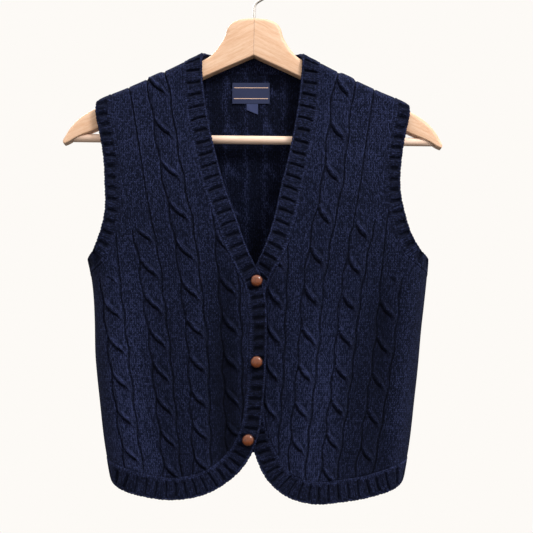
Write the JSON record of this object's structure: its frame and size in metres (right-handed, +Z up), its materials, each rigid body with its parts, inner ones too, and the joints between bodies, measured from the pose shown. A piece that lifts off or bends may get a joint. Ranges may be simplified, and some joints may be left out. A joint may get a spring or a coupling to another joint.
{
  "type": "sweater vest on a wooden hanger",
  "caption": "Sleeveless cable-knit sweater vest with a buttoned V neck, ribbed edges and curved front hems, hung on a wooden hanger with a trouser bar and a wire hook.",
  "frame": {"origin": "inner top of the hanger's hook, where a rail carries it", "axes": "+Z up, -Y out of the garment's front, +X to the wearer's left"},
  "size_m": [0.4459, 0.0719, 0.6346],
  "materials": {
    "navy_wool": "soft matt wool knit",
    "woven_label": "smooth woven ribbon",
    "button_leather": "polished mottled leather",
    "beech": "clear satin lacquer",
    "plated_steel": "bright plated wire"
  },
  "bodies": {
    "root": {"right_front": "navy_wool", "left_front": "navy_wool", "back": "navy_wool", "right_front_band": "navy_wool", "left_front_band": "navy_wool", "back_neck_band": "navy_wool", "back_hem_band": "navy_wool", "right_armhole_band": "navy_wool", "left_armhole_band": "navy_wool", "neck_label": "woven_label", "size_tab": "woven_label", "button_top": "button_leather", "button_middle": "button_leather", "button_low": "button_leather", "hanger_arm_right": "beech", "hanger_arm_left": "beech", "hanger_bar": "beech", "hanger_hook": "plated_steel"}
  },
  "joints": []
}
